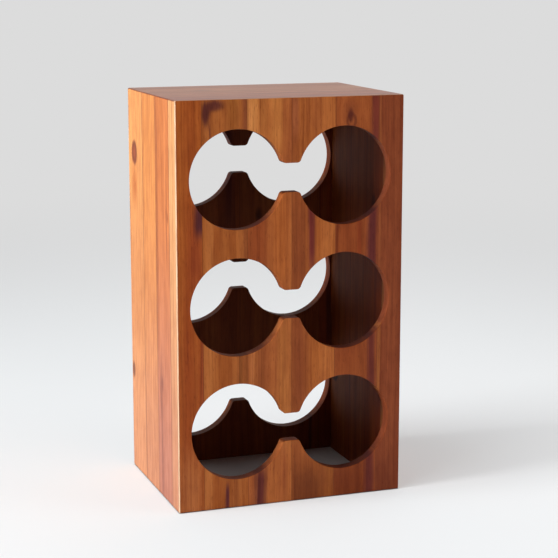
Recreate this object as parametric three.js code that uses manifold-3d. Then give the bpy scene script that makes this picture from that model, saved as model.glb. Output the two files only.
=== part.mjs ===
// Wooden wine rack for six bottles: a mitred box of edge-glued acacia staves, open underneath.
// Millimetres, +Z up. The origin is the middle of the base, on the surface that the rack stands on.
// The front faces -Y, and a bottle lies along Y in a front hole and the matching back hole.

import * as THREE from 'three';
import { ConvexGeometry } from 'three/addons/geometries/ConvexGeometry.js';
import { RoundedBoxGeometry } from 'three/addons/geometries/RoundedBoxGeometry.js';
import { mergeVertices } from 'three/addons/utils/BufferGeometryUtils.js';
import Module from 'manifold-3d';

const wasm = await Module();
wasm.setup();

// Bottle holes: rows of two, the same in the front and the back, joined in pairs by a slot
const ROWS = 3;
const HOLE_DIAMETER = 96;
const HOLE_WEB = 13; // wood between the two holes of a row, where they are nearest
const SLOT_HEIGHT = 28;
const SLOT_FILLET = 4; // round on the corners where the slot runs into a hole

// Wood left round the holes
const STILE = 13.5; // beside the holes
const RAIL = 27.5; // between two rows
const END_RAIL = 28.5; // above the top row and below the bottom row

// Boards
const DEPTH = 172; // front face to back face
const BOARD = 12; // thickness of every board
const ARRIS_RADIUS = 1.5; // round on the outer edges

// Staves that the boards are glued from; those without a width of their own share what is left
const OUTER_STAVE_WIDTH = 26; // front and back, at both edges
const INNER_STAVES = 4; // front and back, between those
const SIDE_FRONT_STAVE_WIDTH = 22; // sides, at the front edge
const SIDE_BACK_STAVE_WIDTH = 54; // sides, at the back edge
const SIDE_MIDDLE_STAVES = 2; // sides, between those
const TOP_STAVES = 4; // top, counted from the front
const GLUE_LINE = 0.1; // gap that the glue fills between two pieces

// Splines: loose tongues let into the mitres across the joint
const SPLINE_WIDTH = 8;
const SPLINE_THICKNESS = 3;
const SPLINE_INSET = 7.5; // from either outer face to the middle of the spline
const SPLINE_END_STOP = 30; // from the end of an edge to the end of its spline
const SPLINE_PLAY = 0.3; // groove over spline, in each direction

// Facets
const HOLE_STEPS = 44;
const FILLET_STEPS = 3;
const ARRIS_STEPS = 2;

// Sizes that follow from these
const HOLE_RADIUS = HOLE_DIAMETER / 2;
const HOLE_SPACING = HOLE_DIAMETER + HOLE_WEB;
const ROW_PITCH = HOLE_DIAMETER + RAIL;
const WIDTH = HOLE_SPACING + HOLE_DIAMETER + 2 * STILE;
const HEIGHT = (ROWS - 1) * ROW_PITCH + HOLE_DIAMETER + 2 * END_RAIL;
const MITRE = Math.PI / 4;
const MITRE_SETBACK = GLUE_LINE * Math.SQRT1_2; // each mitred edge draws in by this for the glue
const BLANK_DEPTH = 4 * BOARD; // deep enough that only its front rounds meet the board
const OVERSHOOT = BOARD; // how far a cutter runs past what it cuts
const SLAB_REACH = 3 * HEIGHT; // a stave's slab runs past its board in the other two directions

// Acacia: reddish heartwood to golden sapwood, oiled satin
const STAVE_COLOURS = [0x8a4a2a, 0xa65e33, 0xb9743f, 0x96502d, 0xad6636, 0x7d4026];
const SPLINE_COLOUR = 0xc9a574;
const WOOD_ROUGHNESS = 0.45;

// Closed solid of a three.js geometry
function solid(geometry) {
  geometry.deleteAttribute('normal');
  geometry.deleteAttribute('uv');
  const merged = mergeVertices(geometry);
  return new wasm.Manifold(new wasm.Mesh({
    numProp: 3,
    vertProperties: Float32Array.from(merged.attributes.position.array),
    triVerts: Uint32Array.from(merged.index.array),
  }));
}

// Named piece of wood
function piece(name, geometry, colour) {
  const finish = { color: colour, roughness: WOOD_ROUGHNESS, metalness: 0 };
  const mesh = new THREE.Mesh(geometry, new THREE.MeshStandardMaterial(finish));
  mesh.name = name;
  return mesh;
}

// Piece of wood with the shape of a cut solid
function cutPiece(name, body, colour) {
  const { vertProperties, triVerts } = body.getMesh();
  const geometry = new THREE.BufferGeometry();
  geometry.setAttribute('position', new THREE.BufferAttribute(vertProperties, 3));
  geometry.setIndex(new THREE.BufferAttribute(triVerts, 1));
  geometry.computeVertexNormals();
  return piece(name, geometry, colour);
}

// A board stands on z = 0 with its outer face on y = 0, facing -Y, and its middle on x = 0.
// Its two sides and its upper edge are mitred, and its lower edge too where the box closes there.
function mitredBoard(width, length, lowEdgeMitred) {
  const blank = new RoundedBoxGeometry(width, BLANK_DEPTH, length, ARRIS_STEPS, ARRIS_RADIUS);
  blank.translate(0, BLANK_DEPTH / 2, length / 2);
  const corners = [];
  for (const depth of [0, BOARD + MITRE_SETBACK]) {
    const low = lowEdgeMitred ? depth : 0;
    for (const x of [depth - width / 2, width / 2 - depth]) {
      for (const z of [low, length - depth]) {
        corners.push(new THREE.Vector3(x, depth - MITRE_SETBACK, z));
      }
    }
  }
  return solid(blank).intersect(solid(new ConvexGeometry(corners)));
}

// Spline for an edge, or the groove for it with some play, standing along z
function splineStrip(edgeLength, play) {
  const length = edgeLength - 2 * SPLINE_END_STOP;
  return new THREE.BoxGeometry(SPLINE_WIDTH + play, SPLINE_THICKNESS + play, length + play);
}

// Half a groove in each mitred edge of a board
function grooves(width, length, lowEdgeMitred) {
  const cutters = [];
  for (const side of [-1, 1]) {
    const upright = splineStrip(length, SPLINE_PLAY);
    upright.rotateZ(side * MITRE);
    upright.translate(side * (width / 2 - SPLINE_INSET), SPLINE_INSET, length / 2);
    cutters.push(upright);
  }
  const upper = splineStrip(width, SPLINE_PLAY);
  upper.rotateY(Math.PI / 2);
  upper.rotateX(-MITRE);
  upper.translate(0, SPLINE_INSET, length - SPLINE_INSET);
  cutters.push(upper);
  if (lowEdgeMitred) {
    const lower = splineStrip(width, SPLINE_PLAY);
    lower.rotateY(Math.PI / 2);
    lower.rotateX(MITRE);
    lower.translate(0, SPLINE_INSET, SPLINE_INSET);
    cutters.push(lower);
  }
  return cutters.map(solid);
}

// Outline of one row's cut-out about its middle: two holes and the slot, with rounded corners.
// Going round, the left half repeats the right half turned by half a turn.
function cutOutOutline() {
  const holeX = HOLE_SPACING / 2;
  const rise = SLOT_HEIGHT / 2 + SLOT_FILLET;
  const run = Math.sqrt((HOLE_RADIUS + SLOT_FILLET) ** 2 - rise ** 2);
  const turn = Math.atan2(rise, run);
  const arc = (x, y, radius, from, to, clockwise, steps) =>
    new THREE.EllipseCurve(x, y, radius, radius, from, to, clockwise).getPoints(steps);
  const half = [
    ...arc(holeX - run, rise, SLOT_FILLET, -Math.PI / 2, -turn, false, FILLET_STEPS),
    ...arc(holeX, 0, HOLE_RADIUS, Math.PI - turn, turn - Math.PI, true, HOLE_STEPS).slice(1),
    ...arc(holeX - run, -rise, SLOT_FILLET, turn, Math.PI / 2, false, FILLET_STEPS).slice(1),
  ];
  return [...half, ...half.map((point) => point.clone().negate())];
}

// Cutters for the bottle holes, row by row
function cutOuts() {
  const cutters = [];
  for (let row = 0; row < ROWS; row++) {
    const depth = BOARD + 2 * OVERSHOOT;
    const outline = new THREE.Shape(cutOutOutline());
    const cutter = new THREE.ExtrudeGeometry(outline, { depth, bevelEnabled: false });
    cutter.rotateX(Math.PI / 2);
    cutter.translate(0, BOARD + OVERSHOOT, END_RAIL + HOLE_RADIUS + row * ROW_PITCH);
    cutters.push(solid(cutter));
  }
  return cutters;
}

// Glue lines of a number of equal staves that reach from low to high, both ends among them
function glueLines(low, high, staves) {
  const width = (high - low) / staves;
  return Array.from({ length: staves + 1 }, (_, index) => low + index * width);
}

// Pieces of one stave, from the top down: several where the bottle holes sever it
function stavePieces(board, slab) {
  const bodies = board.intersect(solid(slab)).decompose();
  return bodies.sort((one, other) => other.boundingBox().max[2] - one.boundingBox().max[2]);
}

// A board parted into its staves at its glue lines, which lie across x where the staves are upright
// and across z where they are level
function stavedBoard(name, board, low, high, lines, upright) {
  const group = new THREE.Group();
  const edges = [low - OVERSHOOT, ...lines, high + OVERSHOOT];
  for (let index = 0; index + 1 < edges.length; index++) {
    const width = edges[index + 1] - edges[index] - GLUE_LINE;
    const middle = (edges[index + 1] + edges[index]) / 2;
    const slab = new THREE.BoxGeometry(SLAB_REACH, SLAB_REACH, width);
    slab.translate(0, 0, middle);
    if (upright) {
      slab.rotateY(Math.PI / 2);
    }
    const bodies = stavePieces(board, slab);
    const stave = `${name}_stave_${index + 1}`;
    const colour = STAVE_COLOURS[index % STAVE_COLOURS.length];
    bodies.forEach((body, rail) => {
      const full = bodies.length > 1 ? `${stave}_rail_${rail + 1}` : stave;
      group.add(cutPiece(full, body, colour));
    });
  }
  return group;
}

// Front and back boards, with the bottle holes; staves counted from the left, seen from outside
function holedBoard(name) {
  const board = [...grooves(WIDTH, HEIGHT, false), ...cutOuts()]
    .reduce((left, cutter) => left.subtract(cutter), mitredBoard(WIDTH, HEIGHT, false));
  const half = WIDTH / 2;
  const lines = glueLines(OUTER_STAVE_WIDTH - half, half - OUTER_STAVE_WIDTH, INNER_STAVES);
  return stavedBoard(name, board, -half, half, lines, true);
}

// Side boards; their staves at the left and right edges, seen from outside, have their own widths
function sideBoard(name, leftStaveWidth, rightStaveWidth) {
  const board = grooves(DEPTH, HEIGHT, false)
    .reduce((left, cutter) => left.subtract(cutter), mitredBoard(DEPTH, HEIGHT, false));
  const half = DEPTH / 2;
  const lines = glueLines(leftStaveWidth - half, half - rightStaveWidth, SIDE_MIDDLE_STAVES);
  return stavedBoard(name, board, -half, half, lines, true);
}

// Top board, with its grain from left to right; staves counted from the front
function topBoard() {
  const board = grooves(WIDTH, DEPTH, true)
    .reduce((left, cutter) => left.subtract(cutter), mitredBoard(WIDTH, DEPTH, true));
  const lines = glueLines(0, DEPTH, TOP_STAVES).slice(1, -1);
  return stavedBoard('top', board, 0, DEPTH, lines, false);
}

// Splines in the four upright mitres and the four mitres round the top
function splines() {
  const group = new THREE.Group();
  const sides = [['left', -1], ['right', 1]];
  const faces = [['front', -1], ['back', 1]];
  const x = WIDTH / 2 - SPLINE_INSET;
  const y = DEPTH / 2 - SPLINE_INSET;
  const z = HEIGHT - SPLINE_INSET;
  for (const [face, ySign] of faces) {
    for (const [side, xSign] of sides) {
      const upright = piece(`spline_${face}_${side}`, splineStrip(HEIGHT, 0), SPLINE_COLOUR);
      upright.position.set(xSign * x, ySign * y, HEIGHT / 2);
      upright.rotation.z = -xSign * ySign * MITRE;
      group.add(upright);
    }
    const across = piece(`spline_top_${face}`, splineStrip(WIDTH, 0), SPLINE_COLOUR);
    across.position.set(0, ySign * y, z);
    across.rotation.set(ySign * MITRE, Math.PI / 2, 0);
    group.add(across);
  }
  for (const [side, xSign] of sides) {
    const along = piece(`spline_top_${side}`, splineStrip(DEPTH, 0), SPLINE_COLOUR);
    along.position.set(xSign * x, 0, z);
    along.rotation.set(Math.PI / 2, xSign * MITRE, 0, 'YXZ');
    group.add(along);
  }
  return group;
}

// A board's group moved to its place in the box and turned about an upright or a level axis
function placed(board, x, y, z, tilt, turn) {
  board.position.set(x, y, z);
  board.rotation.set(tilt, 0, turn);
  return board;
}

const rack = new THREE.Group();
rack.add(placed(holedBoard('front'), 0, -DEPTH / 2, 0, 0, 0));
rack.add(placed(holedBoard('back'), 0, DEPTH / 2, 0, 0, Math.PI));
const leftSide = sideBoard('left', SIDE_BACK_STAVE_WIDTH, SIDE_FRONT_STAVE_WIDTH);
rack.add(placed(leftSide, -WIDTH / 2, 0, 0, 0, -Math.PI / 2));
const rightSide = sideBoard('right', SIDE_FRONT_STAVE_WIDTH, SIDE_BACK_STAVE_WIDTH);
rack.add(placed(rightSide, WIDTH / 2, 0, 0, 0, Math.PI / 2));
rack.add(placed(topBoard(), 0, -DEPTH / 2, HEIGHT, -Math.PI / 2, 0));
rack.add(splines());

export default rack;
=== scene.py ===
"""Looks of a wooden wine rack for six bottles: a mitred box of oiled acacia staves.

Metres, +Z up. The front faces -Y and the origin is the middle of the base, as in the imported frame.
"""

import logging
import math
from collections.abc import Callable, Iterator
from contextlib import contextmanager
from dataclasses import dataclass, replace
from enum import Enum

import bmesh
import bpy
from mathutils import Matrix, Vector


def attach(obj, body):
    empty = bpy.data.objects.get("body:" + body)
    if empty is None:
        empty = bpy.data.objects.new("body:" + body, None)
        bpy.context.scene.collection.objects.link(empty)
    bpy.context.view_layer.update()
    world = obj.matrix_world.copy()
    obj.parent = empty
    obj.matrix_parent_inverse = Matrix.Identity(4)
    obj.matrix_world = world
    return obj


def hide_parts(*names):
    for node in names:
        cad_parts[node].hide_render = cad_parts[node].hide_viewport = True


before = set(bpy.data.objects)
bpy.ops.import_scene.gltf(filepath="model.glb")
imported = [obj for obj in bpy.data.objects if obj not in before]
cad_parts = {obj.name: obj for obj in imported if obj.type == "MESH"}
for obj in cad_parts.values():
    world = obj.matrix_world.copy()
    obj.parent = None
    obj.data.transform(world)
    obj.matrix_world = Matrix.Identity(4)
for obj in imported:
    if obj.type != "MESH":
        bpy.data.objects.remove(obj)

LOG = logging.getLogger("wine_rack")
MM = 0.001
TINY = 0.01 * MM  # within this, two places count as the same
SLANT = 0.01  # within this, a face counts as square to another
ROOT_BODY = "root"

Colour = tuple[float, float, float, float]
Socket = bpy.types.NodeSocket


def linear(hex_code: str) -> Colour:
    """Turn an sRGB hex value into linear light.

    Args:
        hex_code: six hex digits after a number sign.

    Returns:
        Red, green and blue in linear light, with full alpha.
    """
    channels = (int(hex_code[start:start + 2], 16) / 255 for start in (1, 3, 5))
    red, green, blue = (c / 12.92 if c <= 0.04045 else ((c + 0.055) / 1.055) ** 2.4 for c in channels)
    return red, green, blue, 1.0


def add_node(
    tree: bpy.types.NodeTree,
    kind: str,
    settings: dict[str, object] | None = None,
    inputs: dict[int | str, object] | None = None,
    output: int | str = 0,
) -> Socket | None:
    """Add one shader node with its settings and links.

    Args:
        tree: node tree that the node goes into.
        kind: type of the node, without the prefix that all shader nodes share.
        settings: options of the node.
        inputs: values for its inputs, or the outputs that feed them.
        output: which of its outputs to give.

    Returns:
        The chosen output, or None from a node that has none.
    """
    node = tree.nodes.new("ShaderNode" + kind)
    for name, value in (settings or {}).items():
        setattr(node, name, value)
    for key, value in (inputs or {}).items():
        if isinstance(value, Socket):
            tree.links.new(value, node.inputs[key])
        else:
            node.inputs[key].default_value = value
    return node.outputs[output] if node.outputs else None


def new_material(name: str) -> bpy.types.Material:
    """Start a material with an empty node tree.

    Args:
        name: name of the material.

    Returns:
        The material.
    """
    material = bpy.data.materials.new(name)
    material.use_nodes = True
    material.node_tree.nodes.clear()
    return material


# Options of the Math and Vector Math nodes
TIMES, TIMES_PLUS, LESS, SIZE_OF, LENGTH, DOT, LARGER = ({"operation": name} for name in (
    "MULTIPLY", "MULTIPLY_ADD", "SUBTRACT", "ABSOLUTE", "LENGTH", "DOT_PRODUCT", "MAXIMUM"))

# Options and sockets of the Mix node when it mixes colours
MIX_COLOURS = {"data_type": "RGBA"}
TINT_COLOURS = {"data_type": "RGBA", "blend_type": "MULTIPLY"}
FACTOR, FIRST, SECOND, MIXED = 0, 6, 7, 2

# Options and sockets of the Map Range node
SMOOTH = {"interpolation_type": "SMOOTHSTEP"}
VALUE, FROM_MIN, FROM_MAX, TO_MIN, TO_MAX = range(5)


def pick(piece: bpy.types.Object) -> None:
    """Make one piece the only selected object, and the active one.

    Args:
        piece: the piece.
    """
    bpy.ops.object.select_all(action="DESELECT")
    piece.select_set(True)
    bpy.context.view_layer.objects.active = piece


def settle() -> bpy.types.Object:
    """Put the active object's place into its mesh, and give the object."""
    bpy.ops.object.transform_apply(location=True, rotation=True, scale=True)
    return bpy.context.active_object


@contextmanager
def editing(piece: bpy.types.Object) -> Iterator[None]:
    """Hold one piece in edit mode, with all of its mesh selected at the start.

    Args:
        piece: the piece.

    Yields:
        Nothing, while the piece is in edit mode.
    """
    pick(piece)
    bpy.ops.object.mode_set(mode="EDIT")
    bpy.ops.mesh.select_mode(type="VERT")
    bpy.ops.mesh.select_all(action="SELECT")
    yield
    bpy.ops.object.mode_set(mode="OBJECT")


def select_edges(piece: bpy.types.Object, wanted: Callable[[bmesh.types.BMEdge], bool]) -> None:
    """Select some edges of the piece that is in edit mode.

    Args:
        piece: the piece.
        wanted: test that an edge has to pass.
    """
    bpy.ops.mesh.select_all(action="DESELECT")
    bpy.ops.mesh.select_mode(type="EDGE")
    mesh = bmesh.from_edit_mesh(piece.data)
    for edge in mesh.edges:
        edge.select_set(wanted(edge))
    bmesh.update_edit_mesh(piece.data)


def saw_off(piece: bpy.types.Object, point: Vector, normal: Vector) -> None:
    """Cut a piece at a plane and close it there.

    Args:
        piece: the piece.
        point: a point of the plane.
        normal: direction of the side that is taken away.
    """
    with editing(piece):
        bpy.ops.mesh.bisect(plane_co=point, plane_no=normal, use_fill=True, clear_outer=True)


def carve(piece: bpy.types.Object, cutter: bpy.types.Object) -> None:
    """Take the shape of a cutter out of a piece, and remove the cutter.

    Args:
        piece: the piece.
        cutter: the cutter.
    """
    pick(piece)
    cut = piece.modifiers.new("cut", "BOOLEAN")
    cut.object = cutter
    cut.operation = "DIFFERENCE"
    cut.solver = "EXACT"
    bpy.ops.object.modifier_apply(modifier=cut.name)
    bpy.data.objects.remove(cutter)


def copy_of(piece: bpy.types.Object) -> bpy.types.Object:
    """Copy a piece with a mesh of its own.

    Args:
        piece: the piece.

    Returns:
        The copy.
    """
    pick(piece)
    bpy.ops.object.duplicate(linked=False)
    return bpy.context.active_object


class Facing(Enum):
    """Way that a board's outer face looks, and the way across it in which its staves are counted."""

    FRONT = ((0, -1, 0), (1, 0, 0))
    BACK = ((0, 1, 0), (-1, 0, 0))
    LEFT = ((-1, 0, 0), (0, -1, 0))
    RIGHT = ((1, 0, 0), (0, 1, 0))
    TOP = ((0, 0, 1), (0, 1, 0))

    @property
    def outward(self) -> Vector:
        """Direction out of the outer face."""
        return Vector(self.value[0])

    @property
    def across(self) -> Vector:
        """Direction across the staves."""
        return Vector(self.value[1])

    @property
    def grain(self) -> Vector:
        """Direction along the staves."""
        return self.outward.cross(self.across)


@dataclass(frozen=True)
class BoxSizes:
    """Sizes of the whole box, and of the wood that it is made from."""

    width: float = 232 * MM
    depth: float = 172 * MM
    height: float = 400 * MM
    board: float = 12 * MM
    arris: float = 1.5 * MM
    arris_steps: int = 6
    glue: float = 0.1 * MM

    def face(self, facing: Facing) -> float:
        """Distance from the origin to an outer face."""
        reach = {Facing.TOP: self.height, Facing.LEFT: self.width / 2, Facing.RIGHT: self.width / 2}
        return reach.get(facing, self.depth / 2)

    def block(self) -> bpy.types.Object:
        """Make the outer shape of the box as one block with rounded edges.

        Returns:
            The block.
        """
        bpy.ops.object.select_all(action="DESELECT")
        size = (self.width, self.depth, self.height)
        bpy.ops.mesh.primitive_cube_add(size=1, location=(0, 0, self.height / 2), scale=size)
        block = settle()
        with editing(block):
            bpy.ops.mesh.bevel(offset=self.arris, segments=self.arris_steps, profile=0.5, affect="EDGES")
        return block

    def run(self, one: Facing, other: Facing) -> tuple[Vector, Vector, float]:
        """Find the edge between two faces of the box.

        Args:
            one: first face.
            other: second face.

        Returns:
            The middle of the edge along its own direction, that direction, and its length.
        """
        direction = one.outward.cross(other.outward)
        if abs(direction.z) > 0.5:
            return Vector((0, 0, self.height / 2)), direction, self.height
        length = self.width if abs(direction.x) > 0.5 else self.depth
        return Vector((0, 0, 0)), direction, length


@dataclass(frozen=True)
class SplineGroove:
    """Groove for the loose tongue that crosses a mitre."""

    width: float = 8.3 * MM
    thickness: float = 3.3 * MM
    inset: float = 7.5 * MM
    end_stop: float = 29.85 * MM

    def cutter(self, box: BoxSizes, one: Facing, other: Facing) -> bpy.types.Object:
        """Make the cutter for the groove between two boards.

        Args:
            box: sizes of the box.
            one: face of the first board.
            other: face of the second board.

        Returns:
            The cutter.
        """
        middle, direction, length = box.run(one, other)
        middle = middle + one.outward * (box.face(one) - self.inset)
        middle = middle + other.outward * (box.face(other) - self.inset)
        crossing = (one.outward - other.outward).normalized()
        turn = Matrix((crossing, direction.cross(crossing), direction)).transposed()
        size = (self.width, self.thickness, length - 2 * self.end_stop)
        bpy.ops.object.select_all(action="DESELECT")
        bpy.ops.mesh.primitive_cube_add(size=1, location=middle, rotation=turn.to_euler(), scale=size)
        return settle()


@dataclass(frozen=True)
class BottleHoles:
    """Rows of two round holes, each pair joined by a slot whose corners are rounded."""

    radius: float = 48 * MM
    spacing: float = 109 * MM
    slot: float = 28 * MM
    fillet: float = 4 * MM
    rows: tuple[float, ...] = (76.5 * MM, 200 * MM, 323.5 * MM)
    hole_steps: int = 88
    fillet_steps: int = 6
    outer_ease: float = 0.5 * MM
    inner_ease: float = 0.4 * MM
    ease_steps: int = 3

    def outline(self, height: float) -> bpy.types.Object:
        """Draw the outline of one row's cut-out on the plane y = 0, and fill it.

        Args:
            height: height of the row's middle.

        Returns:
            The filled outline.
        """
        rise = self.slot / 2 + self.fillet
        run = math.sqrt((self.radius + self.fillet) ** 2 - rise ** 2)
        turn = math.atan2(rise, run)
        corner = self.spacing / 2 - run
        bpy.ops.object.select_all(action="DESELECT")
        bpy.ops.mesh.primitive_plane_add(size=TINY, location=(corner, 0, height + self.slot / 2))
        outline = settle()
        with editing(outline):
            bpy.ops.mesh.merge(type="CENTER")
            for side in (1, -1):
                arcs = (
                    (side * corner, side * rise, math.pi / 2 - turn, self.fillet_steps),
                    (side * self.spacing / 2, 0, 2 * (turn - math.pi), self.hole_steps),
                    (side * corner, -side * rise, math.pi / 2 - turn, self.fillet_steps),
                )
                for x, z, angle, steps in arcs:
                    middle = (x, 0, height + z)
                    bpy.ops.mesh.spin(steps=steps, angle=angle, center=middle, axis=(0, 1, 0))
                step = {"value": (-2 * side * corner, 0, 0)}
                bpy.ops.mesh.extrude_vertices_move(TRANSFORM_OT_translate=step)
            bpy.ops.mesh.select_all(action="SELECT")
            bpy.ops.mesh.remove_doubles(threshold=TINY)
            bpy.ops.mesh.edge_face_add()
        return outline

    def cutter(self, depth: float, start: float) -> bpy.types.Object:
        """Make the cutter for all the rows of one board.

        Args:
            depth: length of the cutter along y.
            start: where along y it starts.

        Returns:
            The cutter.
        """
        outlines = [self.outline(height) for height in self.rows]
        bpy.ops.object.select_all(action="DESELECT")
        for outline in outlines:
            outline.select_set(True)
        bpy.ops.object.join()
        cutter = bpy.context.active_object
        with editing(cutter):
            bpy.ops.transform.translate(value=(0, start, 0))
            bpy.ops.mesh.extrude_region_move(TRANSFORM_OT_translate={"value": (0, depth, 0)})
            bpy.ops.mesh.select_all(action="SELECT")
            bpy.ops.mesh.normals_make_consistent(inside=False)
        return cutter


@dataclass(frozen=True)
class Streak:
    """Band of another tone along the grain. Millimetres on the board's face.

    It lies at a place across, is some width, and reaches from a low to a high place along the grain.
    """

    across: float
    width: float
    tone: str
    strength: float = 0.8
    low: float = -300.0
    high: float = 700.0
    fade: float = 25.0


@dataclass(frozen=True)
class Knot:
    """Knot that the fibres flow round. Millimetres on the board's face; sizes are half its own.

    It starts to fade at its core, a share of its size, and the pull is how far it bends the fibres. A
    hollow knot is dark only at its rim, and one that leans is dark only on that side of its middle.
    """

    across: float
    along: float
    wide: float
    tall: float
    tone: str
    strength: float = 0.85
    core: float = 0.2
    pull: float = 1.0
    hollow: bool = False
    lean: tuple[float, float] = (0.0, 0.0)


@dataclass(frozen=True)
class StaveFigure:
    """Tones and figure of one stave. Millimetres.

    The pith is where the middle of the tree would lie: across the board and into it. The rounded edge
    towards the highlight side gets a painted pale highlight.
    """

    slot: str
    heart: str
    sap: str
    seed: float
    pith: tuple[float, float] = (-90.0, 60.0)
    tilt: float = 2.0
    ring: float = 5.5
    streaks: tuple[Streak, ...] = ()
    knots: tuple[Knot, ...] = ()
    highlight_side: Facing | None = None


@dataclass(frozen=True)
class Lie:
    """How a stave lies: its board's facing and outer face, and the stave's edges across the board."""

    facing: Facing
    face: float
    low: float
    high: float


@dataclass(frozen=True)
class GrainLayer:
    """Fine figure drawn out along the grain, which tints the wood. Sizes in millimetres.

    It shows where its noise is past a start and is full at an end, with a share of its tint.
    """

    across: float
    along: float
    start: float
    end: float
    shade: float
    tint: str
    detail: float = 2.0


@dataclass(frozen=True)
class OiledAcacia:
    """Acacia, planed, sanded and oiled to a satin sheen. Sizes in millimetres.

    The eye gets warm staves from red brown to gold, soft bands and fine fibres along the grain, dark
    mineral streaks and knots, open pores, thin glue lines, painted shade on the rounded edges and on
    the inner faces, a painted pale highlight on the edges towards one side, and a soft reflection.
    """

    roughness: float = 0.36
    inner_roughness: float = 0.6
    roughness_spread: float = 0.2
    ior: float = 1.36
    sway_across: float = 60.0
    sway_along: float = 240.0
    sway: float = 8.0
    band: GrainLayer = GrainLayer(15.0, 380.0, 0.22, 0.78, 1.0, "#ffffff")
    # Real fibres and pores are finer and would not show, so both are drawn about twice as wide
    fibre: GrainLayer = GrainLayer(1.4, 90.0, 0.42, 0.72, 0.37, "#ac7c6e", 3.0)
    pore: GrainLayer = GrainLayer(0.6, 7.0, 0.56, 0.74, 0.5, "#94685c")
    mottle: GrainLayer = GrainLayer(9.0, 28.0, 0.35, 0.7, 0.4, "#d2beb4")
    ring_shade: float = 0.15
    ring_tint: str = "#b08c80"
    # End grain darker: partly its own tone, partly painted shade in the hole walls
    end_shade: float = 0.9
    end_tint: str = "#84685c"
    # Painted shade on the inner faces
    inside_shade_tint: str = "#b4a096"
    fray: float = 6.0
    knot_fray: float = 0.7
    glue_mark: float = 0.6  # wider than a real glue line, so that it shows
    glue_shade: float = 0.5
    glue_tone: str = "#4a2214"
    # Painted highlight: paler tone on the rounded edges towards a stave's highlight side
    edge_highlight: float = 0.9
    edge_highlight_tone: str = "#f0d0ac"
    # Painted shade: darker tone along the rounded edges
    edge_shade: float = 0.6
    edge_shade_tint: str = "#9a7664"
    relief: float = 0.1
    relief_strength: float = 0.2


# What sets the noises of one stave apart
BAND_TURN, FIBRE_TURN, PORE_TURN, MOTTLE_TURN = 80, 0, 40, 60
NOISE_ROUGHNESS = 0.6
NOISE_SHIFT = Vector((1.7, 2.9, 0.9))
SWAY_SHIFT = Vector((7.3, 3.1, 5.7))

# From where to where a share grows. First those in sizes of a streak or a knot
STREAK_FROM, STREAK_TO = 0.1, 0.65
KNOT_TO = 1.15
RIM_FROM = 0.3
LEAN_FROM, LEAN_TO = -0.2, 0.7
RING_FROM = -0.2
# Then those in how far the surface faces one way, from -1 to 1
END_FROM, END_TO = 0.3, 0.95
SAWN_FROM, SAWN_TO = 0.7, 0.2
INSIDE_FROM, INSIDE_TO = -0.3, -0.8
ROUND_FROM, ROUND_TO = 0.995, 0.93
SIDE_FROM, SIDE_TO = 0.3, 0.6
TOWARD_FROM, TOWARD_TO = 0.05, 0.25
SHEEN_FROM, SHEEN_TO = 0.2, 0.7
# And the painted edge highlight, in the noise that it follows
HIGHLIGHT_FROM, HIGHLIGHT_TO = 0.3, 0.6
LEAST_HIGHLIGHT = 0.6
FIBRE_RELIEF = 0.6


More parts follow.
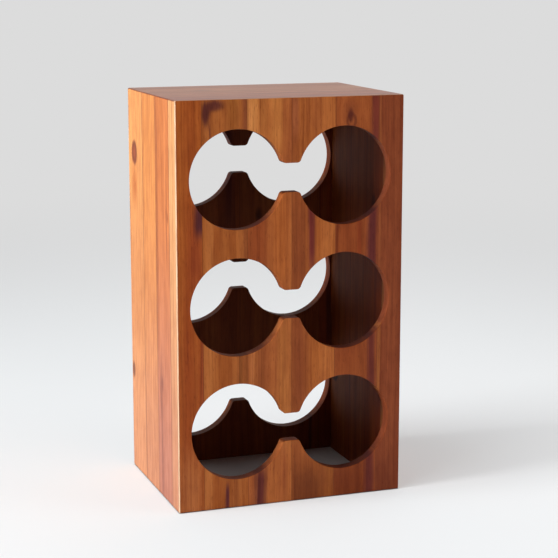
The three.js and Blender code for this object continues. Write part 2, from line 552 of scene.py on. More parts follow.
@dataclass
class StaveWood:
    """Wood of one stave, laid up in the node tree of its material. Sizes in millimetres."""

    tree: bpy.types.NodeTree
    finish: OiledAcacia
    figure: StaveFigure
    lie: Lie

    def add(
        self,
        kind: str,
        settings: dict[str, object] | None = None,
        inputs: dict[int | str, object] | None = None,
        output: int | str = 0,
    ) -> Socket:
        """Add one node to the stave's own tree, and give one of its outputs."""
        return add_node(self.tree, kind, settings, inputs, output)

    def place(self) -> Socket:
        """Find the place on the board: across it, into it and along its grain.

        Returns:
            The place in millimetres.
        """
        facing = self.lie.facing
        turn = Matrix((facing.across, -facing.outward, facing.grain)).to_euler()
        own = self.add("TexCoord", output="Object")
        return self.add("Mapping", inputs={
            "Vector": own, "Location": (0, self.lie.face / MM, 0), "Rotation": turn,
            "Scale": (1 / MM,) * 3})

    def swayed(self, wood: Socket) -> Socket:
        """Move a place sideways, as the fibres sway.

        Args:
            wood: the place.

        Returns:
            The moved place.
        """
        finish, seed = self.finish, self.figure.seed
        spread = self.add("Mapping", inputs={
            "Vector": wood, "Location": seed * SWAY_SHIFT,
            "Scale": (1 / finish.sway_across, 1 / finish.sway_across, 1 / finish.sway_along)})
        noise = self.add("TexNoise", inputs={
            "Vector": spread, "Scale": 1.0, "Detail": 2.0}, output="Color")
        centred = self.add("VectorMath", LESS, {0: noise, 1: (0.5, 0.5, 0.5)})
        return self.add("VectorMath", TIMES_PLUS, {
            0: centred, 1: (finish.sway, finish.sway, 0), 2: wood})

    def from_knot(self, place: Socket, knot: Knot) -> tuple[Socket, Socket]:
        """Measure a place from a knot's middle, in the knot's half sizes.

        Args:
            place: the place.
            knot: the knot.

        Returns:
            Where the place is from the knot, and how far.
        """
        near = self.add("Mapping", inputs={
            "Vector": place, "Location": (-knot.across / knot.wide, 0, -knot.along / knot.tall),
            "Scale": (1 / knot.wide, 0, 1 / knot.tall)})
        return near, self.add("VectorMath", LENGTH, {0: near}, "Value")

    def flowing(self, bent: Socket) -> Socket:
        """Draw a place in towards each knot, so that the fibres part and flow round it.

        Args:
            bent: the place.

        Returns:
            The moved place.
        """
        for knot in self.figure.knots:
            near, away = self.from_knot(bent, knot)
            spread = self.add("Math", TIMES_PLUS, {0: away, 1: away, 2: 1.0})
            pull = self.add("Math", {"operation": "DIVIDE"}, {0: knot.pull, 1: spread})
            aside = self.add("VectorMath", TIMES, {0: near, 1: (-knot.wide, 0, 0)})
            bent = self.add("VectorMath", TIMES_PLUS, {0: aside, 1: pull, 2: bent})
        return bent

    def noise(self, place: Socket, layer: GrainLayer, turn: float) -> Socket:
        """Draw a layer's noise out along the grain.

        Args:
            place: the place.
            layer: the layer, for its sizes and detail.
            turn: what sets this layer's noise apart from the others.

        Returns:
            The noise, from 0 to 1.
        """
        seed = self.figure.seed + turn
        spread = self.add("Mapping", inputs={
            "Vector": place, "Location": seed * NOISE_SHIFT,
            "Scale": (1 / layer.across, 1 / layer.across, 1 / layer.along)})
        return self.add("TexNoise", inputs={
            "Vector": spread, "Scale": 1.0, "Detail": layer.detail, "Roughness": NOISE_ROUGHNESS})

    def banded(self, flow: Socket) -> Socket:
        """Mix heartwood and sapwood in bands along the grain.

        Args:
            flow: the place in the flow of the fibres.

        Returns:
            The tone.
        """
        layer = self.finish.band
        band = self.add("MapRange", SMOOTH, {
            VALUE: self.noise(flow, layer, BAND_TURN), FROM_MIN: layer.start, FROM_MAX: layer.end,
            TO_MAX: layer.shade})
        heart, sap = linear(self.figure.heart), linear(self.figure.sap)
        return self.add("Mix", MIX_COLOURS, {FACTOR: band, FIRST: heart, SECOND: sap}, MIXED)

    def streaked(self, tone: Socket, flow: Socket, loose: Socket) -> Socket:
        """Lay the stave's streaks over a tone.

        Args:
            tone: the tone.
            flow: the place in the flow of the fibres.
            loose: how far the fibres stray to one side, from -0.5 to 0.5.

        Returns:
            The tone with the streaks.
        """
        straight = self.add("SeparateXYZ", inputs={0: flow}, output="X")
        along = self.add("SeparateXYZ", inputs={0: flow}, output="Z")
        across = self.add("Math", TIMES_PLUS, {
            0: loose, 1: self.finish.fray, 2: straight})
        for streak in self.figure.streaks:
            offset = self.add("Math", LESS, {0: across, 1: streak.across})
            away = self.add("Math", SIZE_OF, {0: offset})
            shown = self.add("MapRange", SMOOTH, {
                VALUE: away, FROM_MIN: STREAK_FROM * streak.width,
                FROM_MAX: STREAK_TO * streak.width, TO_MIN: streak.strength, TO_MAX: 0.0})
            ends = ((streak.low, streak.low + streak.fade), (streak.high, streak.high - streak.fade))
            for end, inner in ends:
                kept = self.add("MapRange", SMOOTH, {VALUE: along, FROM_MIN: end, FROM_MAX: inner})
                shown = self.add("Math", TIMES, {0: shown, 1: kept})
            tone = self.add("Mix", MIX_COLOURS, {
                FACTOR: shown, FIRST: tone, SECOND: linear(streak.tone)}, MIXED)
        return tone

    def knotted(self, tone: Socket, bent: Socket, loose: Socket) -> Socket:
        """Lay the stave's knots over a tone.

        Args:
            tone: the tone.
            bent: the place, swayed but not parted round the knots.
            loose: how far the fibres stray to one side, from -0.5 to 0.5.

        Returns:
            The tone with the knots.
        """
        for knot in self.figure.knots:
            near, away = self.from_knot(bent, knot)
            away = self.add("Math", TIMES_PLUS, {
                0: loose, 1: self.finish.knot_fray, 2: away})
            shown = self.add("MapRange", SMOOTH, {
                VALUE: away, FROM_MIN: knot.core, FROM_MAX: KNOT_TO,
                TO_MIN: knot.strength, TO_MAX: 0.0})
            if knot.hollow:
                rim = self.add("MapRange", SMOOTH, {
                    VALUE: away, FROM_MIN: RIM_FROM, FROM_MAX: knot.core})
                shown = self.add("Math", TIMES, {0: shown, 1: rim})
            if any(knot.lean):
                across, along = knot.lean
                side = self.add("VectorMath", DOT, {
                    0: near, 1: (across, 0, along)}, "Value")
                kept = self.add("MapRange", SMOOTH, {
                    VALUE: side, FROM_MIN: LEAN_FROM, FROM_MAX: LEAN_TO})
                shown = self.add("Math", TIMES, {0: shown, 1: kept})
            tone = self.add("Mix", MIX_COLOURS, {
                FACTOR: shown, FIRST: tone, SECOND: linear(knot.tone)}, MIXED)
        return tone

    def ringed(self, tone: Socket, flow: Socket) -> Socket:
        """Tint a tone with the tree's rings round the pith.

        Args:
            tone: the tone.
            flow: the place in the flow of the fibres.

        Returns:
            The tone with the rings.
        """
        across, into = self.figure.pith
        pith = self.add("Mapping", inputs={
            "Vector": flow, "Location": (-across, -into, 0),
            "Rotation": (math.radians(self.figure.tilt), 0, 0)})
        level = self.add("VectorMath", TIMES, {0: pith, 1: (1, 1, 0)})
        radius = self.add("VectorMath", LENGTH, {0: level}, "Value")
        turns = self.add("Math", TIMES, {0: radius, 1: math.tau / self.figure.ring})
        wave = self.add("Math", {"operation": "SINE"}, {0: turns})
        line = self.add("MapRange", SMOOTH, {
            VALUE: wave, FROM_MIN: RING_FROM, TO_MAX: self.finish.ring_shade})
        return self.add("Mix", TINT_COLOURS, {
            FACTOR: line, FIRST: tone, SECOND: linear(self.finish.ring_tint)}, MIXED)

    def facing_share(self, way: Vector) -> Socket:
        """Give how far the surface faces one way, from -1 to 1."""
        normal = self.add("TexCoord", output="Normal")
        return self.add("VectorMath", DOT, {0: normal, 1: way}, "Value")

    def cut(self, tone: Socket, outer: Socket) -> Socket:
        """Darken a tone on the end grain, its own darker tone and partly painted shade in the hole
        walls, and paint shade on the inner face.

        Args:
            tone: the tone.
            outer: how far the surface faces outwards.

        Returns:
            The tone, darker there.
        """
        along = self.facing_share(self.lie.facing.grain)
        endways = self.add("Math", SIZE_OF, {0: along})
        # Partly painted shade: the end grain of the hole walls is darkened
        end = self.add("MapRange", SMOOTH, {
            VALUE: endways, FROM_MIN: END_FROM, FROM_MAX: END_TO, TO_MAX: self.finish.end_shade})
        sawn = self.add("MapRange", SMOOTH, {VALUE: outer, FROM_MIN: SAWN_FROM, FROM_MAX: SAWN_TO})
        end = self.add("Math", TIMES, {0: end, 1: sawn})
        tone = self.add("Mix", TINT_COLOURS, {
            FACTOR: end, FIRST: tone, SECOND: linear(self.finish.end_tint)}, MIXED)
        # Painted shade on the inner faces
        inside = self.add("MapRange", SMOOTH, {
            VALUE: outer, FROM_MIN: INSIDE_FROM, FROM_MAX: INSIDE_TO})
        return self.add("Mix", TINT_COLOURS, {
            FACTOR: inside, FIRST: tone, SECOND: linear(self.finish.inside_shade_tint)}, MIXED)

    def edged(self, tone: Socket, outer: Socket, patch: Socket) -> Socket:
        """Darken a tone on the rounded edges with painted shade, and paint a pale highlight on the edges
        towards the stave's highlight side.

        Args:
            tone: the tone.
            outer: how far the surface faces outwards.
            patch: noise that the painted highlight follows.

        Returns:
            The tone with the edges.
        """
        finish, highlight_side = self.finish, self.figure.highlight_side
        # Painted shade along the rounded edges
        bent = self.add("MapRange", SMOOTH, {VALUE: outer, FROM_MIN: ROUND_FROM, FROM_MAX: ROUND_TO})
        kept = self.add("MapRange", SMOOTH, {VALUE: outer, FROM_MIN: SIDE_FROM, FROM_MAX: SIDE_TO})
        edge = self.add("Math", TIMES, {0: bent, 1: kept})
        dark = self.add("Math", TIMES, {0: edge, 1: finish.edge_shade})
        tone = self.add("Mix", TINT_COLOURS, {
            FACTOR: dark, FIRST: tone, SECOND: linear(finish.edge_shade_tint)}, MIXED)
        if highlight_side is None:
            return tone
        # Painted pale highlight on the rounded edges towards the highlight side
        toward = self.add("MapRange", SMOOTH, {
            VALUE: self.facing_share(highlight_side.outward), FROM_MIN: TOWARD_FROM, FROM_MAX: TOWARD_TO})
        highlight_share = self.add("MapRange", SMOOTH, {
            VALUE: patch, FROM_MIN: HIGHLIGHT_FROM, FROM_MAX: HIGHLIGHT_TO,
            TO_MIN: LEAST_HIGHLIGHT * finish.edge_highlight, TO_MAX: finish.edge_highlight})
        highlight = self.add("Math", TIMES, {0: toward, 1: highlight_share})
        highlight = self.add("Math", TIMES, {0: edge, 1: highlight})
        return self.add("Mix", MIX_COLOURS, {
            FACTOR: highlight, FIRST: tone, SECOND: linear(finish.edge_highlight_tone)}, MIXED)

    def glued(self, tone: Socket, wood: Socket) -> Socket:
        """Lay the dark lines of the stave's glued edges over a tone.

        Args:
            tone: the tone.
            wood: the place on the board.

        Returns:
            The tone with the lines.
        """
        across = self.add("SeparateXYZ", inputs={0: wood}, output="X")
        middle = (self.lie.low + self.lie.high) / 2 / MM
        half = (self.lie.high - self.lie.low) / 2 / MM
        offset = self.add("Math", LESS, {0: across, 1: middle})
        away = self.add("Math", SIZE_OF, {0: offset})
        line = self.add("MapRange", SMOOTH, {
            VALUE: away, FROM_MIN: half - self.finish.glue_mark, FROM_MAX: half,
            TO_MAX: self.finish.glue_shade})
        return self.add("Mix", MIX_COLOURS, {
            FACTOR: line, FIRST: tone, SECOND: linear(self.finish.glue_tone)}, MIXED)

    def build(self) -> None:
        """Lay up the wood: bands, streaks, knots, fine figure, cut faces, wear, glue and sheen."""
        finish = self.finish
        wood = self.place()
        bent = self.swayed(wood)
        flow = self.flowing(bent)
        fibre = self.noise(flow, finish.fibre, FIBRE_TURN)
        pore = self.noise(flow, finish.pore, PORE_TURN)
        mottle = self.noise(flow, finish.mottle, MOTTLE_TURN)
        loose = self.add("Math", LESS, {0: fibre, 1: 0.5})
        outer = self.facing_share(self.lie.facing.outward)

        tone = self.banded(flow)
        tone = self.streaked(tone, flow, loose)
        tone = self.knotted(tone, bent, loose)
        tone = self.ringed(tone, flow)
        layers = ((fibre, finish.fibre), (pore, finish.pore), (mottle, finish.mottle))
        shares = []
        for noise, layer in layers:
            shares.append(self.add("MapRange", SMOOTH, {
                VALUE: noise, FROM_MIN: layer.start, FROM_MAX: layer.end, TO_MAX: layer.shade}))
            tone = self.add("Mix", TINT_COLOURS, {
                FACTOR: shares[-1], FIRST: tone, SECOND: linear(layer.tint)}, MIXED)
        open_pore = shares[1]
        tone = self.cut(tone, outer)
        tone = self.edged(tone, outer, mottle)
        tone = self.glued(tone, wood)

        sheen = self.add("MapRange", SMOOTH, {
            VALUE: outer, FROM_MIN: SHEEN_FROM, FROM_MAX: SHEEN_TO,
            TO_MIN: finish.inner_roughness, TO_MAX: finish.roughness})
        rough = self.add("Math", TIMES_PLUS, {
            0: loose, 1: finish.roughness_spread, 2: sheen})
        relief = self.add("Math", TIMES_PLUS, {0: fibre, 1: FIBRE_RELIEF, 2: open_pore})
        bump = self.add("Bump", {"invert": True}, {
            "Strength": finish.relief_strength, "Distance": finish.relief * MM, "Height": relief})
        shader = self.add("BsdfPrincipled", inputs={
            "Base Color": tone, "Roughness": rough, "IOR": finish.ior, "Normal": bump})
        add_node(self.tree, "OutputMaterial", inputs={"Surface": shader})


@dataclass
class Board:
    """Mitred board, glued from staves edge to edge."""

    facing: Facing
    neighbours: tuple[Facing, ...]
    edges: tuple[float, ...]
    figures: tuple[StaveFigure, ...]
    box: BoxSizes = BoxSizes()
    groove: SplineGroove = SplineGroove()
    finish: OiledAcacia = OiledAcacia()
    smooth_angle: float = math.radians(35)
    flat_weight: int = 90

    @property
    def name(self) -> str:
        """Name that the board's nodes start with."""
        return self.facing.name.lower()

    def sunk(self, depth: float) -> Vector:
        """Point at a depth behind the middle of the outer face."""
        return self.facing.outward * (self.box.face(self.facing) - depth)

    def ease(self, piece: bpy.types.Object, depth: float, radius: float, steps: int) -> None:
        """Round the square edges that lie on one of the board's two faces.

        Args:
            piece: the board.
            depth: how far that face is behind the outer face.
            radius: radius of the round.
            steps: number of facets of the round.
        """
        outward = self.facing.outward
        level = self.box.face(self.facing) - depth

        def square(edge: bmesh.types.BMEdge) -> bool:
            """Tell whether an edge lies on that face and is square.

            Args:
                edge: the edge.

            Returns:
                True if it is.
            """
            if any(abs(end.co.dot(outward) - level) > TINY for end in edge.verts):
                return False
            slants = sorted(abs(face.normal.dot(outward)) for face in edge.link_faces)
            return len(slants) == 2 and slants[0] < SLANT and slants[1] > 1 - SLANT

        with editing(piece):
            select_edges(piece, square)
            bpy.ops.mesh.bevel(offset=radius, segments=steps, profile=0.5, affect="EDGES")

    def shaped(self) -> bpy.types.Object:
        """Make the whole board: mitred and grooved for its splines.

        Returns:
            The board.
        """
        board = self.box.block()
        saw_off(board, self.sunk(self.box.board), -self.facing.outward)
        setback = self.box.glue * math.sqrt(0.5)
        for other in self.neighbours:
            corner = self.sunk(0) + other.outward * (self.box.face(other) - setback)
            saw_off(board, corner, other.outward - self.facing.outward)
        for other in self.neighbours:
            carve(board, self.groove.cutter(self.box, self.facing, other))
        return board

    def parted(self, board: bpy.types.Object, index: int) -> list[bpy.types.Object]:
        """Cut one stave out of a copy of the board. Its long joints are full of glue and show no gap.

        Args:
            board: the whole board.
            index: number of the stave, from 0.

        Returns:
            The stave's pieces, from the top down.
        """
        stave = copy_of(board)
        across = self.facing.across
        if index > 0:
            saw_off(stave, across * self.edges[index], -across)
        if index + 2 < len(self.edges):
            saw_off(stave, across * self.edges[index + 1], across)
        with editing(stave):
            bpy.ops.mesh.separate(type="LOOSE")
        pieces = list(bpy.context.selected_objects)
        pieces.sort(key=lambda piece: max(corner[2] for corner in piece.bound_box), reverse=True)
        return pieces

    def smoothed(self, piece: bpy.types.Object) -> None:
        """Shade the rounds smooth and keep the flats flat.

        Args:
            piece: the piece.
        """
        pick(piece)
        bpy.ops.object.shade_smooth_by_angle(angle=self.smooth_angle)
        flats = piece.modifiers.new("flats", "WEIGHTED_NORMAL")
        flats.keep_sharp = True
        flats.weight = self.flat_weight
        bpy.ops.object.modifier_apply(modifier=flats.name)

    def build(self) -> None:
        """Build the staves, dress them and set them in the place of their nodes."""
        board = self.shaped()
        for index, figure in enumerate(self.figures):
            node = f"{self.name}_stave_{index + 1}"
            lie = Lie(self.facing, self.box.face(self.facing), self.edges[index], self.edges[index + 1])
            material = new_material(f"oiled_acacia_{node}")
            StaveWood(material.node_tree, self.finish, figure, lie).build()
            pieces = self.parted(board, index)
            for rail, piece in enumerate(pieces, start=1):
                full = node if len(pieces) == 1 else f"{node}_rail_{rail}"
                piece.name = f"acacia_{full}"
                piece.data.name = piece.name
                self.smoothed(piece)
                piece.data.materials.clear()
                piece.data.materials.append(material)
                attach(piece, ROOT_BODY)
                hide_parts(full)
                LOG.info("%s: %d faces", piece.name, len(piece.data.polygons))
        bpy.data.objects.remove(board)


@dataclass
class HoledBoard(Board):
    """Front or back board, with the bottle holes."""

    holes: BottleHoles = BottleHoles()

    def shaped(self) -> bpy.types.Object:
        """Make the whole board, with its bottle holes cut and their rims eased.

        Returns:
            The board.
        """
        board = super().shaped()
        depth = 3 * self.box.board
        middle = self.sunk(self.box.board / 2)
        carve(board, self.holes.cutter(depth, middle.y - depth / 2))
        self.ease(board, 0.0, self.holes.outer_ease, self.holes.ease_steps)
        self.ease(board, self.box.board, self.holes.inner_ease, self.holes.ease_steps)
        return board


@dataclass
class Splines:
    """Beech tongues in the mitres, which stay as the frame has them."""

    prefix: str = "spline_"
    tone: str = "#c9a574"
    dark_tone: str = "#ad8654"
    fleck_across: float = 0.9
    fleck_along: float = 12.0

    def build(self) -> None:
        """Give the splines of the frame a planed beech finish."""
        material = new_material("planed_beech_spline")
        tree = material.node_tree
        own = add_node(tree, "TexCoord", output="Object")
        across = 1 / (self.fleck_across * MM)
        along = 1 / (self.fleck_along * MM)
        spread = add_node(tree, "Mapping", inputs={"Vector": own, "Scale": (across, across, along)})
        fleck = add_node(tree, "TexNoise", inputs={"Vector": spread, "Scale": 1.0, "Detail": 2.0})
        tone = add_node(tree, "Mix", MIX_COLOURS, {
            FACTOR: fleck, FIRST: linear(self.tone), SECOND: linear(self.dark_tone)}, MIXED)
        shader = add_node(tree, "BsdfPrincipled", inputs={"Base Color": tone, "Roughness": 0.6})
        add_node(tree, "OutputMaterial", inputs={"Surface": shader})
        for name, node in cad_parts.items():
            if name.startswith(self.prefix):
                node.data.materials.clear()
                node.data.materials.append(material)
                LOG.info("%s: beech", name)


@dataclass
class Lamp:
    """Soft rectangular lamp, aimed at a point."""

    name: str
    place: tuple[float, float, float]
    aim: tuple[float, float, float]
    size: tuple[float, float]
    power: float

    def build(self) -> None:
        """Hang the lamp."""
        way = Vector(self.aim) - Vector(self.place)
        turn = way.to_track_quat("-Z", "Y").to_euler()
        bpy.ops.object.light_add(type="AREA", location=self.place, rotation=turn)
        lamp = bpy.context.active_object
        lamp.name = self.name
        lamp.data.shape = "RECTANGLE"
        lamp.data.size, lamp.data.size_y = self.size
        lamp.data.energy = self.power
        # Mirrored lamps would turn the top white from a low angle
        lamp.visible_glossy = False


@dataclass
class Studio:
    """Pale floor that runs into a pale background, soft lamps, and the camera."""

    frame_side: int = 558
    sensor: float = 36.0
    focal: float = 1637.65  # in pixels of the picture
    azimuth: float = math.radians(-19.647)
    elevation: float = math.radians(10.915)
    offset: tuple[float, float, float] = (16.549 * MM, 8.861 * MM, 1669.52 * MM)
    aim: tuple[float, float, float] = (0.0, 0.0, 200 * MM)
    floor_radius: float = 6.0
    floor_steps: int = 96
    floor_gap: float = 0.2 * MM
    floor_tone: str = "#c5c8ca"
    lift_left: float = 0.25  # brightness that only the eye sees, so that no more light falls on the rack
    lift_right: float = 0.38
    lift_reach: float = 0.5
    lift_tone: str = "#ffffff"
    footprint: tuple[float, float] = (116 * MM, 86 * MM)
    backdrop_tone: str = "#dcdcdc"
    floor_near: float = 0.3
    floor_far: float = 2.4
    fill_tone: str = "#ffffff"
    fill_front: float = 0.12
    fill_back: float = 0.5
    fill_from: tuple[float, float, float] = (0.6, 0.8, 0.0)
    fill_start: float = -0.2
    fill_end: float = 0.8
    lamps: tuple[Lamp, ...] = (
        Lamp("softbox_left", (-2.5, -0.18, 0.65), (0, 0, 0.2), (1.0, 1.3), 104.0),
        Lamp("softbox_high", (-0.92, -0.29, 2.28), (0, 0, 0.2), (1.2, 1.2), 25.0),
        Lamp("softbox_front", (1.64, -1.15, 0.35), (0, 0, 0.2), (1.0, 0.6), 20.0),
    )

    def camera(self) -> None:
        """Stand the camera where the picture was taken from."""
        az, el = self.azimuth, self.elevation
        right = Vector((math.cos(az), math.sin(az), 0))
        back = Vector((math.sin(az) * math.cos(el), -math.cos(az) * math.cos(el), math.sin(el)))
        axes = Matrix((right, back.cross(right), back)).transposed()
        bpy.ops.object.camera_add(
            location=Vector(self.aim) + axes @ Vector(self.offset), rotation=axes.to_euler())
        camera = bpy.context.active_object
        camera.name = "camera"
        camera.data.sensor_width = self.sensor
        camera.data.lens = self.focal / self.frame_side * self.sensor
        bpy.context.scene.camera = camera

    def background_rays(self, tree: bpy.types.NodeTree) -> Socket:
        """Tell the rays that show the background: straight, mirrored or through glass.

        Args:
            tree: node tree that asks.

        Returns:
            1 for such a ray, and 0 for any other.
        """
        straight = add_node(tree, "LightPath", output="Is Camera Ray")
        mirrored = add_node(tree, "LightPath", output="Is Glossy Ray")
        through = add_node(tree, "LightPath", output="Is Transmission Ray")
        seen = add_node(tree, "Math", LARGER, {0: straight, 1: mirrored})
        return add_node(tree, "Math", LARGER, {0: seen, 1: through})

    def world(self) -> None:
        """Light from all round, most from behind, with the pale background where it is seen."""
        world = bpy.data.worlds.new("studio")
        world.use_nodes = True
        tree = world.node_tree
        tree.nodes.clear()
        way = add_node(tree, "TexCoord", output="Generated")
        behind = add_node(tree, "VectorMath", DOT, {0: way, 1: self.fill_from}, "Value")
        strength = add_node(tree, "MapRange", SMOOTH, {
            VALUE: behind, FROM_MIN: self.fill_start, FROM_MAX: self.fill_end,
            TO_MIN: self.fill_front, TO_MAX: self.fill_back})
        fill = add_node(tree, "Background", inputs={
            "Color": linear(self.fill_tone), "Strength": strength})
        seen = add_node(tree, "Background", inputs={
            "Color": linear(self.backdrop_tone), "Strength": 1.0})
        mixed = add_node(tree, "MixShader", inputs={
            0: self.background_rays(tree), 1: fill, 2: seen})
        add_node(tree, "OutputWorld", inputs={"Surface": mixed})
        bpy.context.scene.world = world

    def floor(self) -> None:
        """Pale floor, which far from the rack takes the background's tone."""
        bpy.ops.object.select_all(action="DESELECT")
        bpy.ops.mesh.primitive_circle_add(
            vertices=self.floor_steps, radius=self.floor_radius, fill_type="NGON",
            location=(0, 0, -self.floor_gap))
        floor = settle()
        floor.name = "floor"
        material = new_material("matt_paper_floor")
        tree = material.node_tree
        own = add_node(tree, "TexCoord", output="Object")
        away = add_node(tree, "VectorMath", LENGTH, {0: own}, "Value")
        far = add_node(tree, "MapRange", {"interpolation_type": "SMOOTHERSTEP"}, {
            VALUE: away, FROM_MIN: self.floor_near, FROM_MAX: self.floor_far})
        eye = self.background_rays(tree)
        shown = add_node(tree, "Math", TIMES, {0: far, 1: eye})
        spread = add_node(tree, "VectorMath", SIZE_OF, {0: own})
        beyond = add_node(tree, "VectorMath", LESS, {0: spread, 1: (*self.footprint, 0)})
        sideways = add_node(tree, "SeparateXYZ", inputs={0: beyond}, output="X")
        endways = add_node(tree, "SeparateXYZ", inputs={0: beyond}, output="Y")
        outside = add_node(tree, "Math", LARGER, {0: sideways, 1: endways})
        open_floor = add_node(tree, "Math", {"operation": "GREATER_THAN"}, {0: outside, 1: 0.0})
        right = add_node(tree, "SeparateXYZ", inputs={0: own}, output="X")
        lift = add_node(tree, "MapRange", SMOOTH, {
            VALUE: right, FROM_MIN: -self.lift_reach, FROM_MAX: self.lift_reach,
            TO_MIN: self.lift_left, TO_MAX: self.lift_right})
        lift = add_node(tree, "Math", TIMES, {0: open_floor, 1: lift})
        lift = add_node(tree, "Math", TIMES, {0: eye, 1: lift})
        paper = add_node(tree, "BsdfDiffuse", inputs={"Color": linear(self.floor_tone)})
        lifted = add_node(tree, "Emission", inputs={"Color": linear(self.lift_tone), "Strength": lift})
        near = add_node(tree, "AddShader", inputs={0: paper, 1: lifted})
        glow = add_node(tree, "Emission", inputs={"Color": linear(self.backdrop_tone), "Strength": 1.0})
        mixed = add_node(tree, "MixShader", inputs={0: shown, 1: near, 2: glow})
        add_node(tree, "OutputMaterial", inputs={"Surface": mixed})
        floor.data.materials.append(material)

    def build(self) -> None:
        """Set up the studio."""
        self.camera()
        self.world()
        self.floor()
        for lamp in self.lamps:
            lamp.build()
        bpy.context.scene.view_settings.view_transform = "Standard"


FRONT_FIGURES = (
    StaveFigure("acacia_dark", "#9f481a", "#b66127", 1.0, (-190, 40), 1.5, highlight_side=Facing.LEFT, streaks=(
        Streak(-97, 16, "#994220", 0.7, 200, 300, 40),
        Streak(-93, 12, "#50222a", 0.95, 263, 312, 18),
        Streak(-91.5, 4, "#984529", 0.6, 60, 200, 40),
        Streak(-104, 28, "#c27642", 0.65, -80, 85, 60),
    )),
    StaveFigure("acacia_mid", "#a45520", "#b96c35", 2.0, (-120, 70), 2.5, streaks=(
        Streak(-85, 9, "#c5763b", 0.85, -50, 320, 50),
        Streak(-77, 9, "#984a1a", 0.7, 225, 300, 30),
        Streak(-61, 13, "#9e5f27", 0.5, 355, 430, 30),
        Streak(-49, 8, "#904c2e", 0.75, 345, 430, 30),
        Streak(-48, 6, "#8e4a25", 0.7, 200, 330, 40),
        Streak(-52, 5, "#86481f", 0.8, 80, 190, 40),
        Streak(-47, 6, "#97572d", 0.5, 80, 190, 40),
        Streak(-58, 13, "#9e5627", 0.5, -40, 55, 30),
        Streak(-66, 4, "#5d242e", 0.9, -20, 32, 16),
        Streak(-81, 2.5, "#6d3127", 0.6, 355, 382, 12),
    ), knots=(
        Knot(-74, 382, 18, 18, "#5b2424", 0.7, 0.7, 0.3, True, (-0.75, 0.65)),
        Knot(-87, 387, 6, 13, "#52211e", 0.85, 0.35, 0.1),
        Knot(-78, 394, 13, 6.5, "#5c2823", 0.8, 0.3, 0.1),
    )),
    StaveFigure("acacia_gold", "#a7582d", "#c57439", 3.0, (60, 60), 2.0, streaks=(
        Streak(-39, 14, "#e19552", 0.8, 345, 430, 30),
        Streak(-28, 9, "#af6731", 0.7, 358, 430, 20),
        Streak(-15, 15, "#d98b47", 0.6, 340, 430, 30),
        Streak(-34, 28, "#95451f", 0.9, 215, 345, 35),
        Streak(-11, 22, "#c06b30", 0.7, 200, 345, 40),
        Streak(-31.5, 14, "#964e26", 0.85, 60, 205, 40),
        Streak(-40.5, 5, "#c07441", 0.75, 60, 200, 30),
        Streak(-9, 16, "#c77c3d", 0.6, 40, 205, 40),
        Streak(-32.5, 13, "#602524", 0.95, -40, 52, 26),
    )),
    StaveFigure("acacia_red", "#964d25", "#bb6a30", 4.0, (150, 50), 1.0, streaks=(
        Streak(4, 8, "#b4673f", 0.6, 350, 430, 30),
        Streak(23, 24, "#a85c2f", 0.5, 350, 430, 30),
        Streak(8, 16, "#934a25", 0.7, 60, 335, 60),
        Streak(37, 17, "#c37239", 0.85, 50, 460, 50),
        Streak(20.5, 9, "#6e2528", 0.9, 205, 335, 50),
        Streak(18, 50, "#6e3212", 0.8, -80, 56, 44),
        Streak(41, 12, "#985320", 0.6, -80, 56, 30),
    )),
    StaveFigure("acacia_mid", "#8f451f", "#a8582b", 5.0, (30, 80), 2.0, streaks=(
        Streak(64, 50, "#ac5c2d", 0.75, 345, 460, 40),
        Streak(57, 24, "#8a3e19", 0.7, 100, 345, 60),
        Streak(47, 3, "#702c0f", 0.8, 150, 345, 40),
        Streak(71, 6, "#8a3516", 0.6, 200, 310, 30),
        Streak(65, 60, "#76310e", 0.85, -80, 62, 50),
        Streak(85, 11, "#642623", 0.85),
        Streak(83, 13, "#5c2425", 0.7, 205, 340, 40),
        Streak(86, 9, "#823726", 0.6, 345, 460, 40),
    ), knots=(
        Knot(60, 384, 9, 18, "#7c3a20", 0.7, 0.1, 0.6),
        Knot(61, 376, 6, 8, "#602818", 0.7, 0.75, 0.3, True),
        Knot(60, 381, 3.4, 8, "#541f14", 0.85, 0.3, 0.3),
    )),
    StaveFigure("acacia_dark", "#8a4324", "#964d2b", 6.0, (220, 40), 1.0, streaks=(
        Streak(93.5, 4, "#b66e38", 0.75, 50, 220, 40),
        Streak(92.5, 3, "#99562d", 0.5, 200, 420, 40),
        Streak(103, 40, "#77351b", 0.65, -80, 62, 50),
        Streak(114, 6, "#7c3419", 0.5),
    )),
)

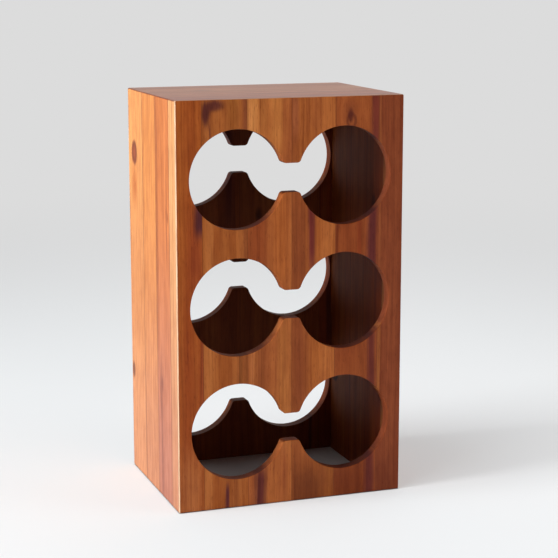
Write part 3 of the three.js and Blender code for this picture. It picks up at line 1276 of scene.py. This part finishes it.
LEFT_FIGURES = (
    StaveFigure("acacia_mid", "#b87a42", "#ca8b4f", 11.0, (-140, 60), 2.0, streaks=(
        # Painted reflection: pinker, paler tone low on the side stands in for the floor's sheen
        Streak(-60, 200, "#ba7d57", 0.9, -400, 330, 330),
        Streak(-60, 200, "#b06f3e", 0.5, 90, 310, 100),
        Streak(-63, 22, "#ac6028", 0.85, 270, 335, 35),
        Streak(-86, 6, "#8a4c28", 0.7),
    ), knots=(
        Knot(-63, 336, 12, 13.5, "#80381a", 0.95, 0.55, 0.6),
        Knot(-63, 336, 11, 12.5, "#581f0c", 0.6, 0.8, 0.0, True),
        Knot(-79, 106, 6.5, 10, "#6e3a22", 0.95, 0.5),
    )),
    StaveFigure("acacia_gold", "#b06d35", "#c17d40", 12.0, (90, 70), 1.5, streaks=(
        # Painted reflection: pinker, paler tone low on the side stands in for the floor's sheen
        Streak(-8, 200, "#b07554", 0.9, -400, 330, 330),
        Streak(-28, 8, "#a4632f", 0.5, 100, 420, 60),
    )),
    StaveFigure("acacia_mid", "#a55e2b", "#b96f3a", 13.0, (120, 50), 2.0, streaks=(
        # Painted reflection: pinker, paler tone low on the side stands in for the floor's sheen
        Streak(40, 200, "#a46a57", 0.9, -400, 330, 330),
        Streak(20, 9, "#894922", 0.7, 120, 420, 60),
        Streak(28, 9, "#7e493d", 0.6, -60, 165, 60),
        Streak(55, 3, "#834320", 0.7, 215, 345, 40),
    ), knots=(
        Knot(31, 117, 5, 11, "#6c3931", 0.55, 0.3),
        Knot(52, 300, 3, 8, "#783d1c", 0.7, lean=(0.6, 0.0)),
        Knot(58, 286, 3, 9, "#783d1c", 0.75),
    )),
    StaveFigure("acacia_red", "#bb8653", "#cd9966", 14.0, (200, 40), 1.0, highlight_side=Facing.FRONT, streaks=(
        # Painted reflection: pinker, paler tone low on the side stands in for the floor's sheen
        Streak(75, 120, "#b0775b", 0.9, -400, 330, 330),
        Streak(76, 3, "#a06a3c", 0.6),
    )),
)

TOP_FIGURES = (
    StaveFigure("acacia_red", "#8a482d", "#aa623c", 21.0, (-150, 50), 2.0, highlight_side=Facing.FRONT, streaks=(
        Streak(-70, 7, "#7a3b27", 0.6),
        Streak(-54, 4, "#6a3124", 0.5, -60, 90, 60),
    )),
    StaveFigure("acacia_mid", "#8f4e2f", "#b06a3e", 22.0, (90, 60), 2.0, streaks=(
        Streak(-20, 9, "#bc7d50", 0.5),
        Streak(-33, 4, "#743923", 0.6, -140, 60, 60),
    )),
    StaveFigure("acacia_gold", "#985634", "#bc7c48", 23.0, (-60, 70), 2.0, streaks=(
        Streak(12, 6, "#824723", 0.6, -60, 160, 60),
    ), knots=(
        Knot(27, 52, 3.5, 13, "#5e2d1e", 0.8, 0.3),
    )),
    StaveFigure("acacia_mid", "#8c4c2d", "#ae683c", 24.0, (160, 50), 2.0, streaks=(
        Streak(62, 10, "#7a3e24", 0.55),
        Streak(78, 4, "#c08255", 0.5),
    )),
)

BACK_FIGURES = (
    StaveFigure("acacia_dark", "#994117", "#b05823", 31.0, (-190, 40), 1.5, streaks=(
        Streak(-103, 7, "#5f2725", 0.8, 90, 210, 50),
        Streak(-95, 6, "#bd6b32", 0.6, 180, 420, 60),
    )),
    StaveFigure("acacia_mid", "#a4541f", "#b96a33", 32.0, (-120, 70), 2.5, streaks=(
        Streak(-68, 14, "#90471f", 0.7, 120, 420, 80),
        Streak(-52, 6, "#c57b3f", 0.6, -50, 300, 60),
        Streak(-80, 5, "#622729", 0.8, -40, 60, 30),
    )),
    StaveFigure("acacia_gold", "#a4582e", "#c2743a", 33.0, (60, 60), 2.0, streaks=(
        Streak(-30, 15, "#d48c4b", 0.6, 150, 420, 80),
        Streak(-10, 12, "#9a4f22", 0.7, -50, 260, 70),
    ), knots=(
        Knot(-21, 263, 5, 11, "#5f271a", 0.85, 0.3),
    )),
    StaveFigure("acacia_red", "#974d25", "#bd6a31", 34.0, (150, 50), 1.0, streaks=(
        Streak(12, 10, "#6d2927", 0.8, 230, 420, 60),
        Streak(33, 16, "#c7783c", 0.6, -50, 420, 60),
    )),
    StaveFigure("acacia_mid", "#934a23", "#ac5f30", 35.0, (30, 80), 2.0, streaks=(
        Streak(56, 8, "#642729", 0.85, -60, 200, 60),
        Streak(76, 14, "#b96c34", 0.6, 60, 420, 60),
    ), knots=(
        Knot(70, 11, 6, 12, "#5d251a", 0.8, 0.4),
    )),
    StaveFigure("acacia_dark", "#8f4726", "#a0562e", 36.0, (220, 40), 1.0, streaks=(
        Streak(96, 5, "#b56b35", 0.6, -50, 250, 60),
        Streak(108, 8, "#73341f", 0.6),
    )),
)

RIGHT_FIGURES = (
    StaveFigure("acacia_red", "#b86f41", "#cf8d5b", 44.0, (200, 40), 1.0, streaks=(
        Streak(-76, 3, "#8f4d2a", 0.6),
    )),
    StaveFigure("acacia_mid", "#9a4823", "#b86328", 43.0, (120, 50), 2.0, streaks=(
        Streak(-48, 8, "#7a3520", 0.7, 60, 330, 80),
        Streak(-28, 5, "#c07541", 0.6, 150, 420, 60),
    ), knots=(
        Knot(-41, 288, 6, 12, "#562118", 0.85, 0.4),
    )),
    StaveFigure("acacia_gold", "#a6582f", "#c0713c", 42.0, (90, 70), 1.5, streaks=(
        Streak(2, 10, "#8a4223", 0.6, -60, 240, 80),
        Streak(20, 3, "#74341d", 0.6),
    )),
    StaveFigure("acacia_mid", "#a85c2d", "#c57c41", 41.0, (-140, 60), 2.0, streaks=(
        Streak(50, 14, "#904e28", 0.6, 100, 420, 80),
        Streak(72, 4, "#6c2f1d", 0.7, -40, 180, 60),
    ), knots=(
        Knot(60, 92, 9, 13, "#8a482f", 0.7, 0.7, 0.8),
        Knot(60, 92, 10, 14, "#4c1f18", 0.85, 0.85, 0.0, True),
    )),
)


def main() -> None:
    """Build the studio and the rack."""
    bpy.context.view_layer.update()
    Studio().build()

    across_front = tuple(edge * MM for edge in (-116, -90, -45, 0, 45, 90, 116))
    across_left = tuple(edge * MM for edge in (-86, -32, 16, 64, 86))
    across_right = tuple(-edge for edge in across_left[::-1])
    across_top = tuple(edge * MM for edge in (-86, -43, 0, 43, 86))
    uprights = (Facing.LEFT, Facing.RIGHT, Facing.TOP)
    ends = (Facing.FRONT, Facing.BACK, Facing.TOP)
    around = (Facing.FRONT, Facing.BACK, Facing.LEFT, Facing.RIGHT)
    thin_oil = OiledAcacia(ior=1.25, edge_shade=0.1)
    side_oil = OiledAcacia(
        ior=1.15, fibre=GrainLayer(1.6, 110.0, 0.42, 0.7, 0.3, "#ac7c6e", 3.0),
        pore=GrainLayer(0.6, 7.0, 0.56, 0.74, 0.35, "#94685c"), glue_mark=1.7, glue_shade=0.6, edge_shade=0.9)
    right_oil = replace(side_oil, glue_mark=1.0, edge_shade=0.4)
    top_oil = OiledAcacia(ior=1.5, edge_highlight=0.35, edge_shade=0.9)
    boards = (
        HoledBoard(Facing.FRONT, uprights, across_front, FRONT_FIGURES, finish=thin_oil),
        HoledBoard(Facing.BACK, uprights, across_front, BACK_FIGURES, finish=thin_oil),
        Board(Facing.LEFT, ends, across_left, LEFT_FIGURES, finish=side_oil),
        Board(Facing.RIGHT, ends, across_right, RIGHT_FIGURES, finish=right_oil),
        Board(Facing.TOP, around, across_top, TOP_FIGURES, finish=top_oil),
    )
    for board in boards:
        board.build()
    Splines().build()


if __name__ == "__main__":
    logging.basicConfig(level=logging.INFO)
    main()
